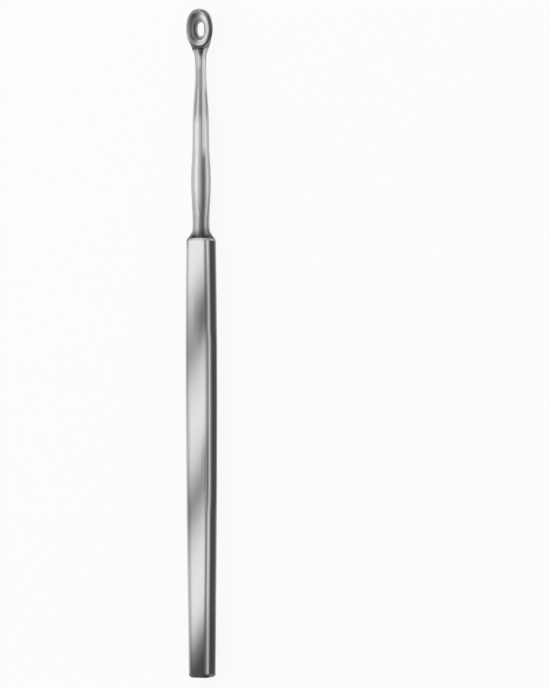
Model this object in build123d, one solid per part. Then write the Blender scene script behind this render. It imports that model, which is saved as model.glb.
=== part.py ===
from build123d import *
from math import radians, tan
import os

# Millimetres. The head points to +Y, the back of the handle rests on z = 0.

# Handle: a flat bar with bowed sides, every long edge broken by two facets
handle_length = 95.2
handle_thickness = 4.9
shoulder_width = 5.7
belly_width = 6.2
rear_width = 5.7
butt_width = 5.0
belly_share = 0.68
rear_share = 0.29
edge_break = 1.0
facet_angle = 30.0
shoulder_bevel_depth = 0.22
shoulder_bevel_length = 0.5
butt_bevel = 0.4

# Collar: the eight-sided flare from the neck out to the shoulder
collar_length = 1.3
collar_ledge = 0.06
collar_corner = 0.8
collar_hollow_width = 4.5
collar_hollow_share = 0.44

# Neck: a turned baluster, a shank above its swell, and a slim stem
root_dia = 3.85
root_lean = 0.12
waist_dia = 3.7
swell_dia = 4.35
shank_dia = 3.62
taper_dia = 3.28
stem_dia = 2.45
neck_length = 39.0
waist_share = 0.118
swell_share = 0.32
shank_share = 0.53
taper_share = 0.735
stem_share = 0.93

# Flats ground on the foot of the neck, in line with the faces of the handle
flat_share = 0.93
flat_runout_share = 0.22
flat_runout_rise = 0.2

# Head: an oval ring, dished towards the hole, with a ground outer bevel
ring_width = 6.26
ring_length = 8.55
ring_fullness = 0.66
ring_lift = 0.6
bevel_rise = 0.38
bevel_inset = 0.52
ring_underside_depth = 0.9
ring_underside_inset = 0.95
edge_land = 0.05
dish_depth = 0.46
dish_hollow = 0.06

# Hole through the head
hole_width = 2.3
hole_length = 3.95
throat_width = 1.6
throat_length = 2.95
hole_setback = 0.15

# Web: the stem spreading flat into the ring
web_length = 2.25
web_edge_width = 4.0
web_edge_depth = 1.2
web_edge_lift = 0.12
web_middle_width = 3.05
web_middle_depth = 1.8
web_end_width = 5.3
web_end_depth = 0.9
web_overlap = 2.0

# Derived positions
overall_length = handle_length + neck_length + web_length + ring_length
butt_y = -overall_length / 2
shoulder_y = butt_y + handle_length
root_y = shoulder_y + collar_length
waist_y = shoulder_y + neck_length * waist_share
swell_y = shoulder_y + neck_length * swell_share
shank_y = shoulder_y + neck_length * shank_share
taper_y = shoulder_y + neck_length * taper_share
stem_y = shoulder_y + neck_length * stem_share
stem_end_y = shoulder_y + neck_length
ring_foot_y = stem_end_y + web_length
ring_y = ring_foot_y + ring_length / 2
rim_z = ring_lift + bevel_rise
hole_z = rim_z - dish_depth
underside_z = ring_lift - ring_underside_depth


# Cross-section plane of the neck at y, with its middle raised by lift
def station(y, lift=0.0):
    return Plane(origin=(0, y, lift), x_dir=(1, 0, 0), z_dir=(0, -1, 0))


# Plan of the handle at height z, its two sides moved in by inset
def handle_plan(inset, z):
    butt = (butt_width / 2 - inset, butt_y)
    rear = (rear_width / 2 - inset, butt_y + handle_length * rear_share)
    belly = (belly_width / 2 - inset, butt_y + handle_length * belly_share)
    shoulder = (shoulder_width / 2 - inset, shoulder_y)
    right = Spline(butt, rear, belly, shoulder)
    left = mirror(right, about=Plane.YZ)
    front = Line(right @ 1, left @ 1)
    back = Line(left @ 0, right @ 0)
    return Pos(0, 0, z) * make_face([right, front, left, back])


# Handle bar, stacked from plans so that both facets follow the bowed sides
def handle():
    half = handle_thickness / 2
    ridge_inset = edge_break * tan(radians(facet_angle)) / (1 + tan(radians(facet_angle)))
    lower = [
        handle_plan(edge_break, -half),
        handle_plan(ridge_inset, -half + ridge_inset),
        handle_plan(0.0, -half + edge_break),
    ]
    upper = [
        handle_plan(0.0, half - edge_break),
        handle_plan(ridge_inset, half - ridge_inset),
        handle_plan(edge_break, half),
    ]
    return loft(lower + upper, ruled=True)


# Bevels round the two ends of the handle
def bevel_ends(bar):
    shoulder_face = bar.faces().sort_by(Axis.Y)[-1]
    bar = chamfer(
        shoulder_face.edges(),
        length=shoulder_bevel_depth,
        length2=shoulder_bevel_length,
        reference=shoulder_face,
    )
    butt_face = bar.faces().sort_by(Axis.Y)[0]
    return chamfer(butt_face.edges(), length=butt_bevel)


# Eight-sided section of the collar
def octagon(y, half_width, half_height, corner):
    return station(y) * Polygon(
        (half_width, half_height - corner),
        (half_width - corner, half_height),
        (corner - half_width, half_height),
        (-half_width, half_height - corner),
        (-half_width, corner - half_height),
        (corner - half_width, -half_height),
        (half_width - corner, -half_height),
        (half_width, corner - half_height),
        align=None,
    )


# Regular eight-sided section, measured across the flats
def even_octagon(y, across_flats):
    half = across_flats / 2
    return octagon(y, half, half, half * (1 - tan(radians(22.5))))


# Collar, hollowed where it leaves the neck
def collar():
    inset = shoulder_bevel_depth + collar_ledge
    half_width = shoulder_width / 2 - inset
    half_height = handle_thickness / 2 - inset
    foot = octagon(shoulder_y, half_width, half_height, collar_corner)
    hollow_y = shoulder_y + collar_length * collar_hollow_share
    hollow = even_octagon(hollow_y, collar_hollow_width)
    top = even_octagon(root_y + shoulder_bevel_depth, waist_dia * flat_share)
    return loft([foot, hollow, top], ruled=True)


# Turned outline of the neck, spun about the long axis
def turned_neck():
    foot = (root_dia / 2, shoulder_y - collar_length)
    root = (root_dia / 2, root_y)
    waist = (waist_dia / 2, waist_y)
    swell = (swell_dia / 2, swell_y)
    shank = (shank_dia / 2, shank_y)
    taper = (taper_dia / 2, taper_y)
    stem = (stem_dia / 2, stem_y)
    stem_end = (stem_dia / 2, stem_end_y)
    along = (0, 1)
    outline = [
        Line((0, foot[1]), foot),
        Line(foot, root),
        Spline(root, waist, tangents=((-root_lean, 1), along)),
        Spline(waist, swell, tangents=(along, along)),
        Spline(swell, shank, tangents=(along, along)),
        Spline(shank, taper, stem, tangents=(along, along)),
        Line(stem, stem_end),
        Line(stem_end, (0, stem_end_y)),
        Line((0, stem_end_y), (0, foot[1])),
    ]
    return revolve(make_face(outline), axis=Axis.Y)


# Block that keeps what lies between one pair of opposite flats
def flats_block():
    root = (root_dia * flat_share / 2, root_y)
    waist = (waist_dia * flat_share / 2, waist_y)
    out = (swell_dia / 2 + flat_runout_rise, shoulder_y + neck_length * flat_runout_share)
    right = [
        Line((root[0], shoulder_y - collar_length), root),
        ThreePointArc(root, waist, out),
        Line(out, (out[0], stem_end_y)),
    ]
    left = [mirror(edge, about=Plane.YZ) for edge in right]
    ends = [
        Line(right[0] @ 0, left[0] @ 0),
        Line(right[2] @ 1, left[2] @ 1),
    ]
    return extrude(make_face(right + left + ends), amount=swell_dia, both=True)


# Neck with its eight flats
def neck():
    body = turned_neck()
    block = flats_block()
    for turn in (0, 45, 90, 135):
        body = body & Rot(0, turn, 0) * block
    return body


# Elliptical section of the web
def web_section(y, width, depth, lift):
    return station(y, lift) * Ellipse(width / 2, depth / 2)


# Web from the end of the stem to inside the ring
def web():
    middle_y = (stem_end_y + ring_foot_y) / 2
    return loft([
        web_section(stem_end_y, stem_dia, stem_dia, 0.0),
        web_section(middle_y, web_middle_width, web_middle_depth, web_edge_lift / 2),
        web_section(ring_foot_y, web_edge_width, web_edge_depth, web_edge_lift),
        web_section(ring_foot_y + web_overlap, web_end_width, web_end_depth, web_edge_lift),
    ])


# Oval face at height z, fuller than an ellipse
def oval(width, length, y, z):
    side = width / 2
    end = length / 2
    full = ring_fullness
    quarter = Bezier((side, 0), (side, full * end), (full * side, end), (0, end))
    half = [quarter, mirror(quarter, about=Plane.YZ)]
    outline = half + [mirror(edge, about=Plane.XZ) for edge in half]
    return Pos(0, y, z) * make_face(outline)


# Oval of the ring, moved in by inset all round
def ring_oval(inset, z):
    return oval(ring_width - 2 * inset, ring_length - 2 * inset, ring_y, z)


# Outside of the ring: rounded underneath, ground to a bevel above its widest line
def ring_blank():
    rounding = ring_underside_inset
    underside = loft([
        ring_oval(rounding, underside_z),
        ring_oval(rounding * 0.42, underside_z + ring_underside_depth * 0.25),
        ring_oval(rounding * 0.1, underside_z + ring_underside_depth * 0.62),
        ring_oval(0.0, ring_lift),
    ])
    bevel = loft([ring_oval(0.0, ring_lift), ring_oval(bevel_inset, rim_z)], ruled=True)
    return underside + bevel


# Cutter for the dished face, from the cutting edge down to the hole
def dish_cutter():
    hole_y = ring_y - hole_setback
    top_width = ring_width - 2 * (bevel_inset + edge_land)
    top_length = ring_length - 2 * (bevel_inset + edge_land)
    middle_width = (top_width + hole_width) / 2
    middle_length = (top_length + hole_length) / 2
    middle_z = (rim_z + hole_z) / 2 - dish_hollow
    dish = loft([
        oval(top_width, top_length, ring_y, rim_z),
        oval(middle_width, middle_length, (ring_y + hole_y) / 2, middle_z),
        oval(hole_width, hole_length, hole_y, hole_z),
    ])
    clearance = extrude(oval(top_width, top_length, ring_y, rim_z), amount=dish_depth)
    return dish + clearance


# Cutter for the hole, narrowing to its throat and running out below the ring
def hole_cutter():
    hole_y = ring_y - hole_setback
    funnel = loft([
        oval(hole_width, hole_length, hole_y, hole_z),
        oval(throat_width, throat_length, hole_y, underside_z),
    ], ruled=True)
    exit_cut = extrude(oval(throat_width, throat_length, hole_y, underside_z), amount=-dish_depth)
    return funnel + exit_cut


# Whole instrument, one solid, set down on the back of its handle
def curette():
    body = bevel_ends(handle()) + collar() + neck()
    body = body + (web() + ring_blank() - dish_cutter() - hole_cutter())
    return Pos(0, 0, handle_thickness / 2) * body


os.makedirs("parts", exist_ok=True)
export_step(curette(), "parts/curette.step")
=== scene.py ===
from math import cos, degrees, pi, radians, sin

import bpy
from mathutils import Matrix, Vector


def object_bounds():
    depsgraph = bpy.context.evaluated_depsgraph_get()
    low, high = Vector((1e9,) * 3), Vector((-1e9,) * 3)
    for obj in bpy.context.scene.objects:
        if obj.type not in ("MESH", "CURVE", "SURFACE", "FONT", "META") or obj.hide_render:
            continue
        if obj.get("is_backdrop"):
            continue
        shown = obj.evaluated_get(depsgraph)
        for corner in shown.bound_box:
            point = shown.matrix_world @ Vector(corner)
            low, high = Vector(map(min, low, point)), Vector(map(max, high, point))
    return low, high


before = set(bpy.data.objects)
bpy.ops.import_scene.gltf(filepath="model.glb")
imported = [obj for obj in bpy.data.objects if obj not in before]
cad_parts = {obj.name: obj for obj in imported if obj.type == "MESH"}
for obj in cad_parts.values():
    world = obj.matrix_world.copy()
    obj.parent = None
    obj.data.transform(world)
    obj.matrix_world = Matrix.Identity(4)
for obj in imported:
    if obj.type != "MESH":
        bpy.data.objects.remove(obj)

# The scene is in metres. Sizes and stations of the instrument are in millimetres, with y along it.
MM = 0.001

# Photograph: its frame in pixels, its scale, and where the middle of the instrument stands in it
FRAME_WIDTH = 550
FRAME_HEIGHT = 688
MM_PER_PIXEL = 0.217
INSTRUMENT_X = 201.35
INSTRUMENT_Y = 342.74

# View: degrees turned round the long axis, and degrees leaned in the picture
TURN = 25.0
LEAN = 0.15

# Camera lens and sensor height
LENS = 200.0
SENSOR = 36.0

# Height of the neck's axis above the table
AXIS_Z = 2.45

# Fades from one part to the next: where they start and end
FACE_BORDER = (2.41, 2.445)
BUTT_BEVEL = (-71.5, -71.9)
SHOULDER_BEVEL = (22.08, 22.3)
COLLAR_FOOT = (22.6, 22.8)
RING_FOOT = (63.8, 64.1)

# Ovals of the head: half width, half length, station of the middle
RING_Y = 68.225
RING_OVAL = (3.13, 4.275, RING_Y)
RIM_OVAL = (2.56, 3.71, 68.135)
HOLE_OVAL = (1.15, 1.975, 68.075)
OVAL_FULLNESS = 2.4

# Painted dark reflection stripe in the neck's taper: its station, and its twist in degrees per
# millimetre
DARK_STRIPE_Y = 52
DARK_STRIPE_TWIST = 1.6

# Painted dark reflection in the web, shaped as a cusp: its middle across, the station of its tip, and
# its spread per millimetre
CUSP_X = 0.45
CUSP_TIP_Y = 60.1
CUSP_SPREAD = 0.18

# Spans that the tones below are spread over
HANDLE_SPAN = (-75, 30)
HEIGHT_SPAN = (-2.5, 2.5)
WIDTH_SPAN = (-3.2, 3.2)
COLLAR_SPAN = (-3, 3)
FULL_TURN = (-180, 180)

# Painted reflection bands along the handle: station, tone. Each band leans by so many millimetres for
# one across.
REFLECTION_BAND_LEAN = 1.8
REFLECTION_BAND_TONES = [
    (-75, 0.045), (-70, 0.07), (-66.5, 0.17), (-63, 0.38), (-60, 0.57), (-57, 0.66), (-52, 0.69),
    (-46, 0.65), (-41, 0.52), (-37.5, 0.38), (-34, 0.26), (-31.5, 0.28), (-28.5, 0.39),
    (-25, 0.54), (-21, 0.64), (-16, 0.68), (-11, 0.62), (-7, 0.53), (-3.5, 0.4), (-0.5, 0.31),
    (5, 0.26), (8, 0.3), (11, 0.45), (14, 0.59), (17, 0.68), (21, 0.71), (30, 0.71),
]

# Painted reflections on the side and edge facets of the handle: height from the axis, tone. The dark
# sides are painted shade, the bright line on each edge a painted highlight.
END_EDGE_TONES = [
    (-2.45, 0.4), (-2.1, 0.6), (-1.4, 0.55), (-1.05, 0.34), (-0.8, 0.12), (-0.4, 0.05),
    (0.1, 0.026), (0.6, 0.02), (1.3, 0.028), (1.48, 0.06), (1.62, 0.16), (1.76, 0.42),
    (1.98, 0.6), (2.05, 0.95), (2.15, 0.95), (2.2, 0.48), (2.25, 0.43), (2.42, 0.41),
]
BELLY_EDGE_TONES = [
    (-2.45, 0.4), (-2.1, 0.6), (-1.4, 0.5), (-1.08, 0.3), (-0.8, 0.05), (-0.4, 0.028),
    (0.3, 0.02), (0.9, 0.026), (1.3, 0.06), (1.5, 0.18), (1.7, 0.34), (1.84, 0.7),
    (2.0, 0.78), (2.08, 0.56), (2.16, 0.34), (2.24, 0.3), (2.31, 0.66), (2.43, 0.66),
]
LEFT_EDGE_TONES = [
    (-2.4, 0.4), (-1.5, 0.4), (-1.38, 0.26), (-1.0, 0.22), (-0.3, 0.15), (0.6, 0.16),
    (1.2, 0.24), (1.38, 0.28), (1.5, 0.42), (2.07, 0.66), (2.2, 0.54), (2.3, 0.45), (2.43, 0.39),
]

# Half width of the flat face: station, share of the unit, because a ramp ends at 1
FACE_UNIT = 3
FACE_HALF_WIDTHS = [
    (-72.5, 0.5), (-60, 0.56), (-45, 0.617), (-27, 0.67), (-8, 0.7), (8, 0.68), (22.7, 0.617),
]

# Painted reflections and shade on the bevels at the two ends of the handle: place across, tone
SHOULDER_TONES = [
    (-3.1, 0.3), (-1.8, 0.3), (-1.3, 0.37), (-0.8, 0.5), (-0.3, 0.55), (1.1, 0.53),
    (1.5, 0.4), (2.3, 0.3), (2.68, 0.3), (2.84, 0.6), (3.05, 0.9),
]
BUTT_TONES = [
    (-2.5, 0.2), (-1.5, 0.12), (-0.8, 0.07), (1.5, 0.055), (2.0, 0.05), (2.3, 0.07), (2.5, 0.12),
]

# Painted reflections on the collar: place across, share of the neck's tone. A ramp ends at 1, so the
# gain lifts it.
COLLAR_GAIN = 1.8
COLLAR_TONES = [
    (-2.2, 0.33), (-1.0, 0.27), (-0.3, 0.34), (0.3, 0.85), (1.1, 1.0), (1.6, 0.62),
    (2.2, 0.3), (2.8, 0.27),
]

# Painted reflections round the neck: degrees from straight up towards the right, tone. The back is soft
# grey.
BACK_LEFT = [(-180, 0.65), (-140, 0.3), (-95, 0.5)]
BACK_RIGHT = [(98, 0.6), (140, 0.3), (180, 0.65)]
FOOT_TONES = [
    (-60, 0.52), (-42, 0.42), (-30, 0.35), (-20, 0.35), (-12, 0.45), (-4, 0.56), (3, 0.5),
    (8, 0.36), (14, 0.22), (22, 0.2), (30, 0.19), (38, 0.17), (44, 0.2), (50, 0.48),
    (56, 0.63), (63, 0.72), (68, 0.6), (73, 0.26), (79, 0.15), (88, 0.32),
]
SWELL_TONES = [
    (-60, 0.66), (-40, 0.58), (-28, 0.46), (-18, 0.46), (-11, 0.56), (-5, 0.69), (4, 0.82),
    (12, 0.82), (23, 0.52), (29, 0.34), (34, 0.235), (40, 0.2), (46, 0.25), (52, 0.47),
    (58, 0.6), (66, 0.78), (74, 0.6), (83, 0.43),
]
SHANK_TONES = [
    (-60, 0.66), (-30, 0.5), (-20, 0.5), (-8, 0.67), (2, 0.75), (9, 0.95), (16, 0.78),
    (24, 0.65), (29, 0.42), (33, 0.58), (38, 0.84), (44, 1.0), (52, 1.0), (60, 0.93),
    (69, 0.62), (81, 0.56),
]
TAPER_TONES = [
    (-60, 0.6), (-36, 0.6), (-28, 0.45), (-21, 0.26), (-14, 0.3), (-8, 0.42), (-1, 0.5),
    (7, 0.8), (12, 0.55), (17, 0.4), (24, 0.34), (30, 0.28), (36, 0.6), (43, 0.93),
    (50, 1.0), (56, 0.92), (62, 0.56), (70, 0.36), (79, 0.34), (88, 0.46),
]
LOW_STEM_TONES = [
    (-60, 0.9), (-35, 0.7), (-26, 0.4), (-16, 0.3), (-7, 0.32), (3, 0.59), (13, 0.55),
    (23, 0.48), (31, 0.34), (37, 0.62), (45, 0.86), (55, 0.98), (68, 0.72), (84, 0.62),
]
STEM_TONES = [
    (-60, 0.58), (-45, 0.44), (-34, 0.56), (-26, 0.46), (-15, 0.4), (-7, 0.42), (3, 0.76),
    (12, 0.88), (22, 0.84), (29, 0.44), (34, 0.4), (40, 0.7), (48, 0.92), (55, 0.92),
    (63, 0.94), (74, 0.68), (88, 0.48),
]

# Parts of the neck above its foot: stations where each fades in, painted reflection tones round it
NECK_PARTS = [
    (26.5, 31.0, SWELL_TONES),
    (39.5, 43.3, SHANK_TONES),
    (47.0, 50.5, TAPER_TONES),
    (53.5, 56.3, LOW_STEM_TONES),
    (58.8, 60.8, STEM_TONES),
]

# Painted reflections and shade round the head: degrees from its tip towards the right, tone
BORE_TONES = [
    (-180, 0.44), (-168, 0.24), (-152, 0.12), (-135, 0.15), (-120, 0.2), (-60, 0.2),
    (-45, 0.17), (-15, 0.32), (0, 0.48), (30, 0.4), (90, 0.41), (150, 0.4), (180, 0.44),
]
HOLE_EDGE_TONES = [
    (-180, 0.09), (-150, 0.11), (-122, 0.06), (-75, 0.05), (-45, 0.18), (-15, 0.19),
    (0, 0.2), (20, 0.34), (45, 0.34), (66, 0.1), (115, 0.08), (136, 0.26), (162, 0.2),
    (180, 0.09),
]
DISH_MIDDLE_TONES = [
    (-180, 0.37), (-150, 0.3), (-120, 0.29), (-80, 0.25), (-45, 0.21), (-30, 0.26),
    (-14, 0.21), (0, 0.32), (15, 0.56), (30, 0.64), (55, 0.54), (90, 0.48), (120, 0.46),
    (150, 0.55), (180, 0.36),
]
DISH_LINE_TONES = [
    (-180, 0.45), (-170, 0.25), (-160, 0.13), (-145, 0.1), (-130, 0.12), (-95, 0.17),
    (-60, 0.14), (-28, 0.11), (-14, 0.12), (0, 0.26), (10, 0.52), (20, 0.66), (32, 0.62),
    (60, 0.52), (110, 0.58), (160, 0.6), (180, 0.45),
]
DISH_RIM_TONES = [
    (-180, 0.48), (-170, 0.34), (-160, 0.2), (-146, 0.27), (-130, 0.29), (-112, 0.39),
    (-80, 0.36), (-45, 0.2), (-22, 0.11), (-3, 0.17), (6, 0.29), (14, 0.44), (21, 0.38),
    (30, 0.2), (42, 0.13), (60, 0.1), (76, 0.2), (90, 0.3), (108, 0.3), (124, 0.19),
    (138, 0.24), (150, 0.4), (168, 0.62), (180, 0.48),
]
BEVEL_TONES = [
    (-180, 0.11), (-165, 0.1), (-151, 0.15), (-138, 0.44), (-120, 0.45), (-100, 0.34),
    (-85, 0.32), (-60, 0.31), (-40, 0.32), (-15, 0.36), (0, 0.3), (8, 0.2), (16, 0.14),
    (28, 0.14), (50, 0.12), (90, 0.12), (140, 0.1), (165, 0.1), (180, 0.11),
]
LIP_TONES = [
    (-180, 0.1), (-165, 0.1), (-151, 0.15), (-138, 0.44), (-118, 0.45), (-90, 0.38),
    (-60, 0.32), (-40, 0.28), (-24, 0.32), (0, 0.46), (20, 0.56), (36, 0.52), (52, 0.95),
    (64, 0.8), (78, 0.42), (95, 0.22), (116, 0.15), (127, 0.22), (138, 0.46), (150, 0.42),
    (162, 0.26), (172, 0.12), (180, 0.1),
]

# Painted reflection tone of the bore below the ring's widest line, and painted shade on the ring's
# underside
LOW_BORE_TONE = 0.5
UNDERSIDE_TONE = 0.35

# Grain of the steel, in waves per millimetre across and along
BRUSHING = (9.0, 0.12)
CLOUD = (0.5, 0.1)
GRAIN_DETAIL = 3.0

# Swing in tone from the brushing and the cloud, round the middle value of their noise
BRUSHED_TONE = 0.08
CLOUDED_TONE = 0.06
NOISE_MIDDLE = 0.5

# Gloss of the steel: smoothest roughness, what the brushing adds, strength and depth of its bump
ROUGHNESS = 0.22
BRUSHED_ROUGHNESS = 0.1
BUMP_STRENGTH = 0.12
BUMP_DEPTH = 0.02

# Table top: metres from its middle to each side, and how light it is
TABLE_HALF = 3.0
TABLE_GREY = 0.9

# Share of the table's plain white that the eye, the metal's gloss and clear things get
WHITE_SEEN = 0.9
WHITE_MIRRORED = 0.5
WHITE_PASSED = 0.5

# Softboxes: name, axis and degrees of the lean, metres away, width, length, radiance
SOFTBOXES = [
    ("softbox_left", "Y", -52.0, 0.9, 1.2, 1.4, 0.62),
    ("softbox_head", "X", -58.0, 1.0, 1.2, 1.0, 0.6),
]
ROOM_GREY = 0.6


def measured_box():
    """Lowest and highest corner of the shown instrument, as plain lists."""
    bpy.context.view_layer.update()
    low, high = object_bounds()
    return [list(low), list(high)]


def plain_grey(tone):
    """Opaque colour of this tone."""
    return (tone, tone, tone, 1.0)


class Wire:
    """A shader value that Python arithmetic turns into nodes."""

    def __init__(self, finish, socket):
        self.finish = finish
        self.socket = socket

    def math(self, operation, *values):
        return self.finish.add("Math", {"operation": operation}, dict(enumerate(values)))

    def __add__(self, other):
        return self.math("ADD", self, other)

    def __radd__(self, other):
        return self.math("ADD", other, self)

    def __sub__(self, other):
        return self.math("SUBTRACT", self, other)

    def __rsub__(self, other):
        return self.math("SUBTRACT", other, self)

    def __mul__(self, other):
        return self.math("MULTIPLY", self, other)

    def __rmul__(self, other):
        return self.math("MULTIPLY", other, self)

    def __truediv__(self, other):
        return self.math("DIVIDE", self, other)

    def __pow__(self, other):
        return self.math("POWER", self, other)

    def __abs__(self):
        return self.math("ABSOLUTE", self)

    def step(self, start, end):
        """0 on the side of start, 1 on the side of end, smooth between them."""
        if start > end:
            return 1 - self.step(end, start)
        settings = {"interpolation_type": "SMOOTHSTEP"}
        return self.finish.add("MapRange", settings, {0: self, 1: start, 2: end})

    def hill(self, start, top, end):
        """1 at top, 0 from start down and from end up."""
        return self.step(start, top) * self.step(end, top)

    def to(self, other, share):
        """This value where share is 0, other where it is 1."""
        return self * (1 - share) + other * share

    def darker(self, share, where):
        """This value, darker by a share of itself where the last value is 1."""
        return self * (1 - share * where)

    def lighter(self, share, where):
        """This value, lighter by a share of itself where the last value is 1."""
        return self * (1 + share * where)


class Finish:
    """A material whose nodes all come from one method."""

    def __init__(self, name):
        self.material = bpy.data.materials.new(name)
        self.material.use_nodes = True
        self.tree = self.material.node_tree
        self.tree.nodes.clear()

    def add(self, kind, settings=None, sockets=None, out=0):
        """New node of this kind: its settings, then its sockets. Gives the asked output, if any."""
        node = self.tree.nodes.new("ShaderNode" + kind)
        for name, value in (settings or {}).items():
            if name == "stops":
                self.set_stops(node.color_ramp, value)
            else:
                setattr(node, name, value)
        for name, value in (sockets or {}).items():
            if isinstance(value, Wire):
                self.tree.links.new(value.socket, node.inputs[name])
            else:
                node.inputs[name].default_value = value
        return Wire(self, node.outputs[out]) if node.outputs else None

    def set_stops(self, ramp, stops):
        while len(ramp.elements) < len(stops):
            ramp.elements.new(1.0)
        for element, (place, tone) in zip(ramp.elements, stops):
            element.position = place
            element.color = plain_grey(tone)

    def along(self, value, span, tones):
        """Tone along a value, from (value, tone) pairs inside the span."""
        low, high = span
        stops = [((at - low) / (high - low), tone) for at, tone in tones]
        return self.add("ValToRGB", {"stops": stops}, {0: (value - low) / (high - low)})

    def around(self, turn, tones):
        """Tone round an axis, from (degrees, tone) pairs; the back is filled in where it is left out."""
        if tones[0][0] > FULL_TURN[0]:
            tones = BACK_LEFT + tones + BACK_RIGHT
        return self.along(turn, FULL_TURN, tones)

    def angle(self, across, along):
        """Degrees from the second direction towards the first."""
        return self.add("Math", {"operation": "ARCTAN2"}, {0: across, 1: along}) * degrees(1)

    def place(self):
        """Place on the instrument in millimetres, heights from the axis of its neck."""
        spot = self.add("TexCoord", out="Object")
        x, y, z = [self.add("SeparateXYZ", None, {0: spot}, out=axis) for axis in "XYZ"]
        return x / MM, y / MM, z / MM - AXIS_Z

    def grain(self, waves):
        """Noise drawn out along the instrument."""
        across, along = [count / MM for count in waves]
        spot = self.add("TexCoord", out="Object")
        drawn = self.add("Mapping", None, {"Vector": spot, "Scale": (across, along, across)})
        noise = {"Vector": drawn, "Scale": 1.0, "Detail": GRAIN_DETAIL}
        return self.add("TexNoise", None, noise)

    def surface(self, shader):
        """The finished material, with this shader as its surface."""
        self.add("OutputMaterial", None, {"Surface": shader})
        return self.material


def painted_reflection_bands(steel, x, y):
    """Painted reflections: soft bands that slant across the handle, three of them over part of its
    width.
    """
    slant = y - REFLECTION_BAND_LEAN * x
    bands = steel.along(slant, HANDLE_SPAN, REFLECTION_BAND_TONES)
    # More painted reflection bands: deep and early darken, faint lightens
    deep = slant.hill(-4.5, 2.5, 10.0) * x.step(-0.3, 1.2)
    faint = slant.hill(0.5, 6.5, 13.5) * x.step(-0.2, -1.0)
    early = slant.hill(-33.0, -27.5, -20.0) * x.step(0.6, 1.6)
    return bands.darker(0.42, deep).lighter(0.35, faint).darker(0.24, early)


def painted_edge_light(steel, bands, x, y, z):
    """Painted reflections and shade on the handle's sides and on the two facets along each of its edges.
    """
    end_edge = steel.along(z, HEIGHT_SPAN, END_EDGE_TONES)
    belly_edge = steel.along(z, HEIGHT_SPAN, BELLY_EDGE_TONES)
    left_edge = steel.along(z, HEIGHT_SPAN, LEFT_EDGE_TONES)
    belly = y.step(4, 0) * y.step(-38, -33)
    left = x.step(0.1, -0.1)
    # Painted shade masks: next to the face, by the shoulder and by the butt
    near_face = z.step(1.7, 2.35)
    by_shoulder = y.step(20.0, 21.5) * x.step(0, -1)
    by_butt = y.step(-55, -66) * z.step(1.65, 1.3)
    edge = end_edge.to(belly_edge, belly).to(left_edge, left)
    edge = edge.darker(0.6 - 0.9 * bands, near_face)
    return edge.darker(0.25, by_shoulder).darker(0.4, by_butt)


def flat_face(steel, bands, x, y):
    """Tone of the flat faces: the painted reflection bands, with painted shade along both borders."""
    half_width = FACE_UNIT * steel.along(y, HANDLE_SPAN, FACE_HALF_WIDTHS)
    from_right = half_width - x
    from_left = half_width + x
    # Painted shade along both borders of the face
    right_share = 0.2 + 0.12 * y.step(0, 10)
    left_share = 0.24 + 0.14 * y.step(-50, -62)
    # Painted shade: a soft stripe inside the left border, from the middle towards the butt
    painted_left_shade = y.step(-8, -20) * from_left.step(0.75, 0.3)
    face = bands.darker(right_share, from_right.step(0.35, 0.0))
    return face.darker(left_share, from_left.step(0.35, 0.0)).darker(0.18, painted_left_shade)


def handle_painted_light(steel, x, y, z):
    """Painted reflections and shade on the flat handle: banded faces, bright edge facets, dark sides,
    bevelled ends.
    """
    bands = painted_reflection_bands(steel, x, y)
    tone = painted_edge_light(steel, bands, x, y, z)
    tone = tone.to(flat_face(steel, bands, x, y), abs(z).step(*FACE_BORDER))
    tone = tone.to(steel.along(x, WIDTH_SPAN, SHOULDER_TONES), y.step(*SHOULDER_BEVEL))
    return tone.to(steel.along(x, WIDTH_SPAN, BUTT_TONES), y.step(*BUTT_BEVEL))


def shaded_neck(tone, turn, x, y):
    """The neck's tone with the painted highlights and painted shade that fill part of its length."""
    # Painted shade at the foot and the waist, a painted highlight, a painted dark reflection stripe that
    # twists along the taper, and a painted dark line near the web
    foot_shade = y.hill(23.6, 24.8, 26.4) * turn.hill(-12, 10, 30)
    waist_shade = y.hill(27.5, 30.2, 34.0)
    painted_highlight = turn.hill(20, 37, 53) * y.hill(36.2, 40.6, 43.2)
    twisted = turn - DARK_STRIPE_TWIST * (y - DARK_STRIPE_Y)
    painted_dark_stripe = twisted.hill(-26, -15, -4) * y.step(47.3, 49.5) * y.step(57.6, 55.6)
    line = x.hill(-1.02, -0.85, -0.66) * y.hill(59.8, 61.5, 63.6)
    tone = tone.darker(0.16, foot_shade).darker(0.14, waist_shade)
    return tone.darker(0.32, painted_dark_stripe).lighter(0.32, painted_highlight).darker(0.5, line)


def shaded_web(tone, x, y):
    """The web's tone: a painted dark reflection shaped as a cusp that widens towards the ring, with
    painted soft shade beside it.
    """
    from_cusp = abs(x - CUSP_X) / (CUSP_SPREAD * (y - CUSP_TIP_Y))
    cusp = from_cusp.step(1.45, 0.5) * y.step(60.8, 62.9)
    # Painted shade by the ring, on the left, along both edges and in a line on the right
    ring_shade = y.step(63.38, 63.9) * x.step(1.6, 1.0)
    left_shade = y.step(62.2, 63.3) * x.step(0.9, 0.2)
    right_edge = y.hill(60.8, 61.9, 62.9) * x.step(1.0, 1.25)
    left_edge = y.step(63.0, 63.5) * x.step(-0.3, -0.7)
    right_line = y.step(62.3, 62.9) * x.hill(0.8, 0.98, 1.16)
    tone = tone.darker(0.87, cusp).darker(0.8, ring_shade).darker(0.2, left_shade)
    return tone.darker(0.3, right_edge).darker(0.25, left_edge).darker(0.22, right_line)


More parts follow.
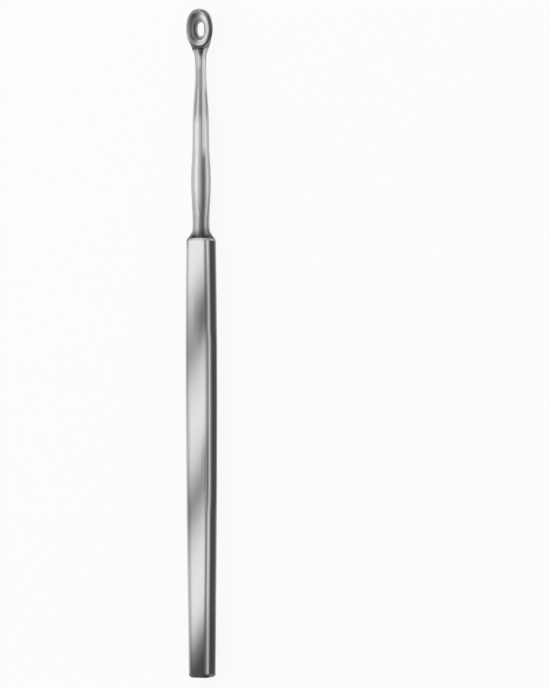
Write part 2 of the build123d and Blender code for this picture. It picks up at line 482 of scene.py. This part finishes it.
def shaded_collar(steel, tone, x, y):
    """The collar's tone: the neck's tone with painted reflections of its own, and painted shade where it
    leaves the neck.
    """
    flare = COLLAR_GAIN * steel.along(x, COLLAR_SPAN, COLLAR_TONES)
    # Painted shade on the right of the collar's foot
    right_foot = y.hill(23.2, 24.2, 26.0) * x.step(0.6, 1.2)
    tone = tone.to(tone * flare, y.step(23.7, 23.2))
    return tone.darker(0.22, right_foot).darker(0.5, y.step(25.0, 23.7))


def neck_painted_light(steel, x, y, z):
    """Painted reflections on the turned neck: light and dark stripes that run along it."""
    turn = steel.angle(x, z)
    tone = steel.around(turn, FOOT_TONES)
    for start, end, tones in NECK_PARTS:
        tone = tone.to(steel.around(turn, tones), y.step(start, end))
    tone = shaded_web(shaded_neck(tone, turn, x, y), x, y)
    return shaded_collar(steel, tone, x, y)


def oval_reach(x, y, oval):
    """0 at the middle of the oval, 1 on it."""
    half_width, half_length, middle = oval
    across = (abs(x) / half_width) ** OVAL_FULLNESS
    along = (abs(y - middle) / half_length) ** OVAL_FULLNESS
    return (across + along) ** (1 / OVAL_FULLNESS)


def head_painted_light(steel, x, y, z):
    """Painted reflections and shade on the ring: bore, dish in four rings, ground bevel, lip and
    underside.
    """
    turn = steel.angle(x, y - RING_Y)
    ring = oval_reach(x, y, RING_OVAL)
    rim = oval_reach(x, y, RIM_OVAL) + 0.025 * x.step(0.8, 1.8)
    hole = oval_reach(x, y, HOLE_OVAL)
    bore = steel.around(turn, BORE_TONES).to(LOW_BORE_TONE, z.step(0.2, -0.15))
    underside = z.step(0.55, 0.3) * ring.step(0.8, 0.85) * y.step(64.0, 64.6)
    tone = steel.around(turn, HOLE_EDGE_TONES)
    tone = tone.to(steel.around(turn, DISH_MIDDLE_TONES), hole.step(1.1, 1.28))
    tone = tone.to(steel.around(turn, DISH_LINE_TONES), ring.step(0.58, 0.63))
    tone = tone.to(steel.around(turn, DISH_RIM_TONES), ring.step(0.67, 0.74))
    tone = tone.to(steel.around(turn, BEVEL_TONES), rim.step(0.96, 1.02))
    tone = tone.to(steel.around(turn, LIP_TONES), ring.step(0.925, 0.975))
    return tone.to(bore, hole.step(1.03, 0.98)).to(UNDERSIDE_TONE, underside)


def satin_steel():
    """Stainless steel, finely polished along its length, with reflections and shade painted into its
    colour.
    """
    steel = Finish("satin_steel")
    x, y, z = steel.place()
    tone = handle_painted_light(steel, x, y, z)
    tone = tone.to(neck_painted_light(steel, x, y, z), y.step(*COLLAR_FOOT))
    # Painted shade: a dark band where the neck meets the handle's shoulder
    painted_collar_shade = y.hill(22.6, 22.9, 24.0)
    tone = tone.darker(0.7, painted_collar_shade).to(head_painted_light(steel, x, y, z), y.step(*RING_FOOT))
    brushing = steel.grain(BRUSHING)
    cloud = steel.grain(CLOUD)
    tone = tone.lighter(BRUSHED_TONE, brushing - NOISE_MIDDLE)
    tone = tone.lighter(CLOUDED_TONE, cloud - NOISE_MIDDLE)
    relief = {"Strength": BUMP_STRENGTH, "Distance": BUMP_DEPTH * MM, "Height": brushing}
    return steel.surface(steel.add("BsdfPrincipled", None, {
        "Base Color": steel.add("CombineColor", None, {0: tone, 1: tone, 2: tone}),
        "Metallic": 1.0,
        "Roughness": ROUGHNESS + BRUSHED_ROUGHNESS * brushing,
        "Normal": steel.add("Bump", None, relief),
    }))


def pale_floor():
    """White table top: near white to the eye, half white to the metal, with a soft shadow."""
    top = Finish("pale_table_top")
    matt = top.add("BsdfDiffuse", None, {"Color": plain_grey(TABLE_GREY)})
    white = top.add("Emission", None, {"Color": plain_grey(1.0), "Strength": 1.0})
    seen = top.add("LightPath", out="Is Camera Ray")
    mirrored = top.add("LightPath", out="Is Glossy Ray")
    passed = top.add("LightPath", out="Is Transmission Ray")
    share = WHITE_SEEN * seen + WHITE_MIRRORED * mirrored + WHITE_PASSED * passed
    return top.surface(top.add("MixShader", None, {0: share, 1: matt, 2: white}))


def add_floor():
    """Table top that the instrument lies on."""
    half = TABLE_HALF
    mesh = bpy.data.meshes.new("table_top")
    corners = [(-half, -half, 0), (half, -half, 0), (half, half, 0), (-half, half, 0)]
    mesh.from_pydata(corners, [], [(0, 1, 2, 3)])
    mesh.materials.append(pale_floor())
    floor = bpy.data.objects.new("table_top", mesh)
    bpy.context.scene.collection.objects.link(floor)
    floor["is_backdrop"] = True


def add_softbox(name, lean_axis, lean, distance, width, length, radiance):
    """Area lamp square to the instrument, leaned from straight up round an axis."""
    data = bpy.data.lights.new(name, "AREA")
    data.shape = "RECTANGLE"
    data.size = width
    data.size_y = length
    data.energy = radiance * pi * width * length
    lamp = bpy.data.objects.new(name, data)
    turn = Matrix.Rotation(radians(lean), 4, lean_axis)
    lamp.matrix_world = turn @ Matrix.Translation((0, 0, distance))
    bpy.context.scene.collection.objects.link(lamp)


def light_studio():
    """Large softboxes up on the left and beyond the head, and an even pale room."""
    for softbox in SOFTBOXES:
        add_softbox(*softbox)
    world = bpy.data.worlds.new("studio_room")
    world.use_nodes = True
    background = world.node_tree.nodes["Background"]
    background.inputs["Color"].default_value = plain_grey(ROOM_GREY)
    bpy.context.scene.world = world


def add_camera():
    """Long lens looking down along the instrument's turned view."""
    data = bpy.data.cameras.new("camera")
    data.type = "PERSP"
    data.lens = LENS
    data.sensor_fit = "VERTICAL"
    data.sensor_height = SENSOR
    distance = FRAME_HEIGHT * MM_PER_PIXEL * MM * LENS / SENSOR
    aside = (FRAME_WIDTH / 2 - INSTRUMENT_X) * MM_PER_PIXEL * MM
    along = (INSTRUMENT_Y - FRAME_HEIGHT / 2) * MM_PER_PIXEL * MM
    angle = radians(TURN) - aside / distance
    right = Vector((cos(angle), 0, -sin(angle)))
    up = Vector((0, 1, 0))
    back = Vector((sin(angle), 0, cos(angle)))
    middle = Vector((0, 0, AXIS_Z * MM))
    place = middle + back * distance + right * aside + up * along
    axes = Matrix((right, up, back)).transposed()
    camera = bpy.data.objects.new("camera", data)
    roll = Matrix.Rotation(radians(-LEAN), 4, "Z")
    camera.matrix_world = Matrix.Translation(place) @ axes.to_4x4() @ roll
    bpy.context.scene.collection.objects.link(camera)
    bpy.context.scene.camera = camera


cad_box = measured_box()
add_camera()
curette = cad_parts["curette"]
curette.data.materials[0] = satin_steel()
add_floor()
light_studio()
bpy.context.scene.view_settings.view_transform = "Standard"
{"cad": cad_box, "visual": measured_box()}
